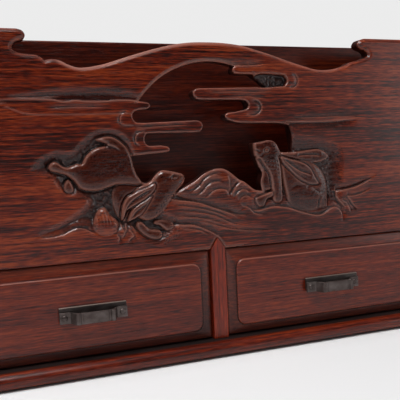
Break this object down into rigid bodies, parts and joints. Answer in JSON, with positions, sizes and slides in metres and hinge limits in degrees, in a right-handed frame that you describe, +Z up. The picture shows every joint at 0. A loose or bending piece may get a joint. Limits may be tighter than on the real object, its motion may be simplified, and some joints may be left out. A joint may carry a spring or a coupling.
{
  "type": "desk brush holder",
  "caption": "Rectangular rosewood desk brush holder with a pierced, relief-carved front panel, a letter slot, brush cells and small drawers with strap pulls.",
  "frame": {"origin": "centre of the footprint at the bottom of the felt pads, on the table", "axes": "+X to the right along the front, +Y from the carved front to the back, +Z up"},
  "size_m": [0.312, 0.118, 0.1757],
  "materials": {
    "rosewood": "satin oiled",
    "dark_rosewood": "satin oiled",
    "drawer_wood": "bare",
    "dark_iron": "burnished dark grey-brown",
    "felt": "felt"
  },
  "bodies": {
    "case": {"foot_pads": "felt", "base_panel": "dark_rosewood", "base_rail_front": "rosewood", "base_rail_back": "rosewood", "base_rail_left": "rosewood", "base_rail_right": "rosewood", "front_panel": "rosewood", "partition_panel": "dark_rosewood", "back_panel": "rosewood", "left_side": "rosewood", "right_side": "rosewood", "well_floor": "dark_rosewood", "cell_divider_left": "dark_rosewood", "cell_divider_right": "dark_rosewood", "centre_stile": "rosewood", "left_stile": "rosewood", "right_stile": "rosewood", "drawer_partition": "dark_rosewood", "drawer_stops": "drawer_wood"},
    "left_drawer": {"left_drawer_front": "rosewood", "left_drawer_inner_side": "drawer_wood", "left_drawer_outer_side": "drawer_wood", "left_drawer_back": "drawer_wood", "left_drawer_bottom": "drawer_wood", "left_pull_plate": "dark_iron", "left_pull_bow": "dark_iron", "left_pull_rivets": "dark_iron"},
    "right_drawer": {"right_drawer_front": "rosewood", "right_drawer_inner_side": "drawer_wood", "right_drawer_outer_side": "drawer_wood", "right_drawer_back": "drawer_wood", "right_drawer_bottom": "drawer_wood", "right_pull_plate": "dark_iron", "right_pull_bow": "dark_iron", "right_pull_rivets": "dark_iron"}
  },
  "joints": [
    {"name": "left_drawer_slide", "type": "slide", "parent": "case", "child": "left_drawer", "axis": [0, -1, 0], "range_m": [0, 0.06]},
    {"name": "right_drawer_slide", "type": "slide", "parent": "case", "child": "right_drawer", "axis": [0, -1, 0], "range_m": [0, 0.06]}
  ]
}
